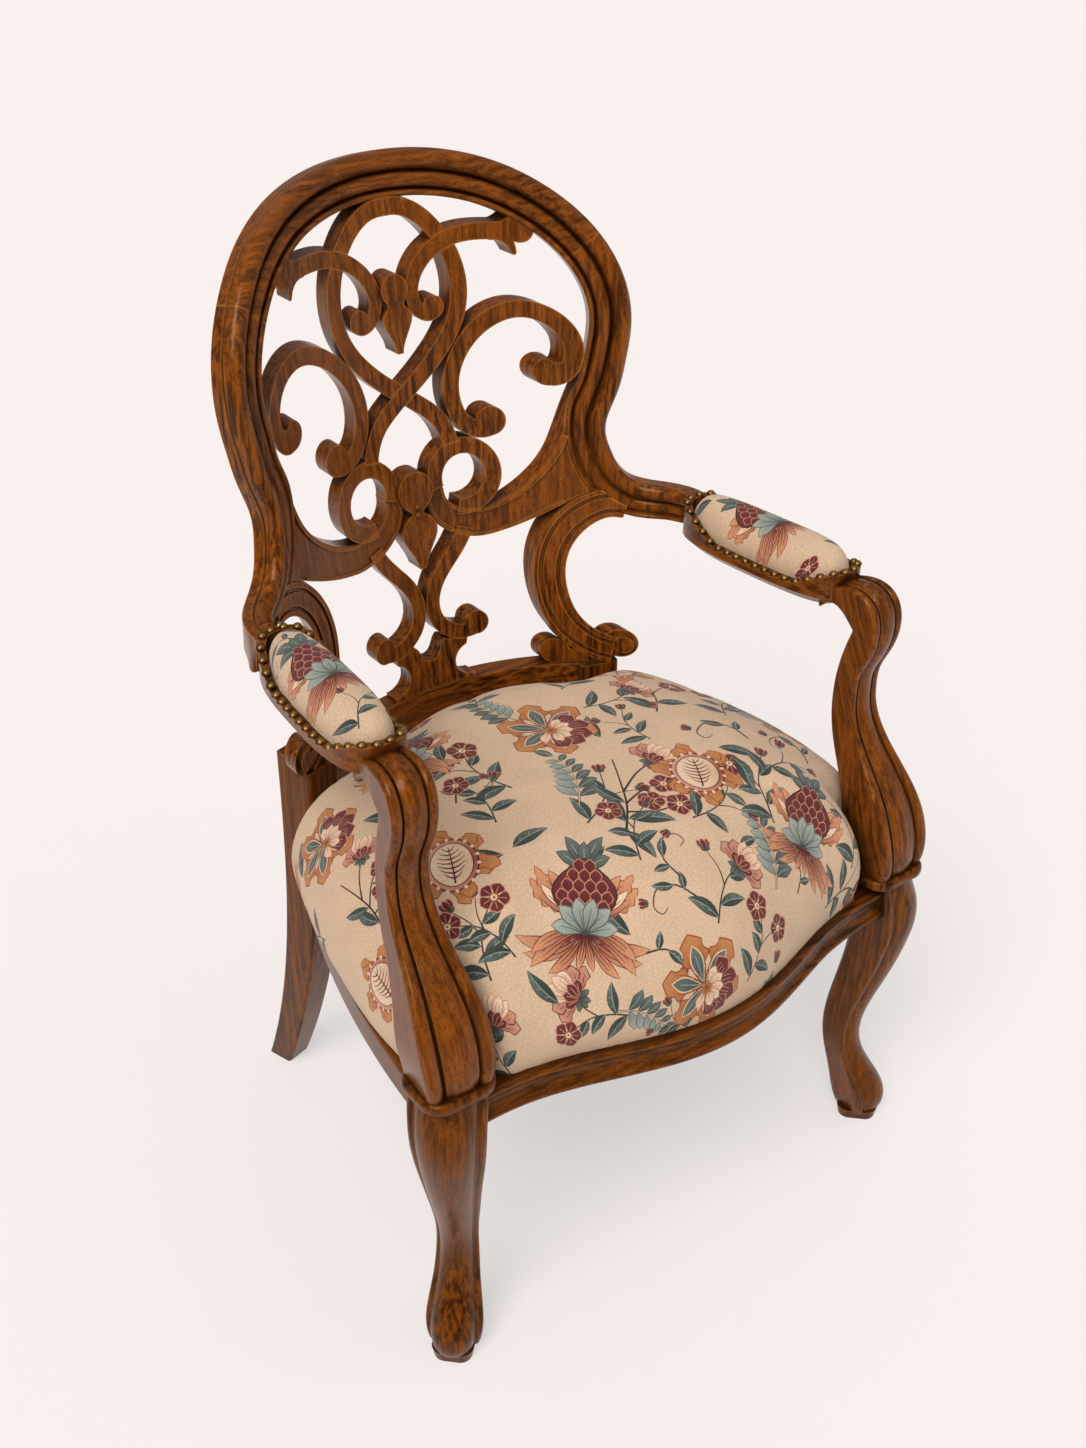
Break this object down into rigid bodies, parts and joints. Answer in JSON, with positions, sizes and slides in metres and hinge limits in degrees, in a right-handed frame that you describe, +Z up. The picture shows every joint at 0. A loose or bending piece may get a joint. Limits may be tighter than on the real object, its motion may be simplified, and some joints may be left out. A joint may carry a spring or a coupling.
{
  "type": "carved open armchair",
  "caption": "Carved wooden open armchair with a pierced balloon back, padded arms with nail trim, a domed upholstered seat and cabriole front legs.",
  "frame": {"origin": "on the floor under the middle of the chair's bounding box", "axes": "+Z up; the chair faces -Y; +X to the right of a person looking at its front"},
  "size_m": [0.6396, 0.6176, 1.0403],
  "materials": {
    "carved_walnut": "satin stained walnut with darker glaze in the grooves",
    "floral_tapestry": "woven floral tapestry on a tan ground",
    "antique_brass": "aged brass",
    "jute_webbing": "woven jute",
    "black_cambric": "thin black cloth",
    "plain_beech": "unfinished",
    "steel_screws": "plain"
  },
  "bodies": {
    "root": {"arm_left": "carved_walnut", "arm_nails_left": "antique_brass", "arm_nails_right": "antique_brass", "arm_pad_left": "floral_tapestry", "arm_pad_right": "floral_tapestry", "arm_right": "carved_walnut", "arm_support_left": "carved_walnut", "arm_support_right": "carved_walnut", "c_scroll_left": "carved_walnut", "c_scroll_right": "carved_walnut", "corner_block_screws": "steel_screws", "crest_rail": "carved_walnut", "dust_cover": "black_cambric", "front_corner_block_left": "plain_beech", "front_corner_block_right": "plain_beech", "front_leg_left": "carved_walnut", "front_leg_right": "carved_walnut", "front_seat_rail": "carved_walnut", "heart_ribbon_left": "carved_walnut", "heart_ribbon_right": "carved_walnut", "lower_pendant": "carved_walnut", "lower_scroll_left": "carved_walnut", "lower_scroll_right": "carved_walnut", "rear_corner_block_left": "plain_beech", "rear_corner_block_right": "plain_beech", "rear_leg_left": "carved_walnut", "rear_leg_right": "carved_walnut", "rear_seat_rail": "carved_walnut", "ring_left": "carved_walnut", "ring_right": "carved_walnut", "seat_upholstery": "floral_tapestry", "seat_webbing": "jute_webbing", "side_scroll_left": "carved_walnut", "side_scroll_right": "carved_walnut", "side_seat_rail_left": "carved_walnut", "side_seat_rail_right": "carved_walnut", "splat_shoe": "carved_walnut", "stay_rail": "carved_walnut", "stile_left": "carved_walnut", "stile_right": "carved_walnut", "upper_pendant": "carved_walnut", "upper_scroll_left": "carved_walnut", "upper_scroll_right": "carved_walnut", "waist_scroll_left": "carved_walnut", "waist_scroll_right": "carved_walnut"}
  },
  "joints": []
}
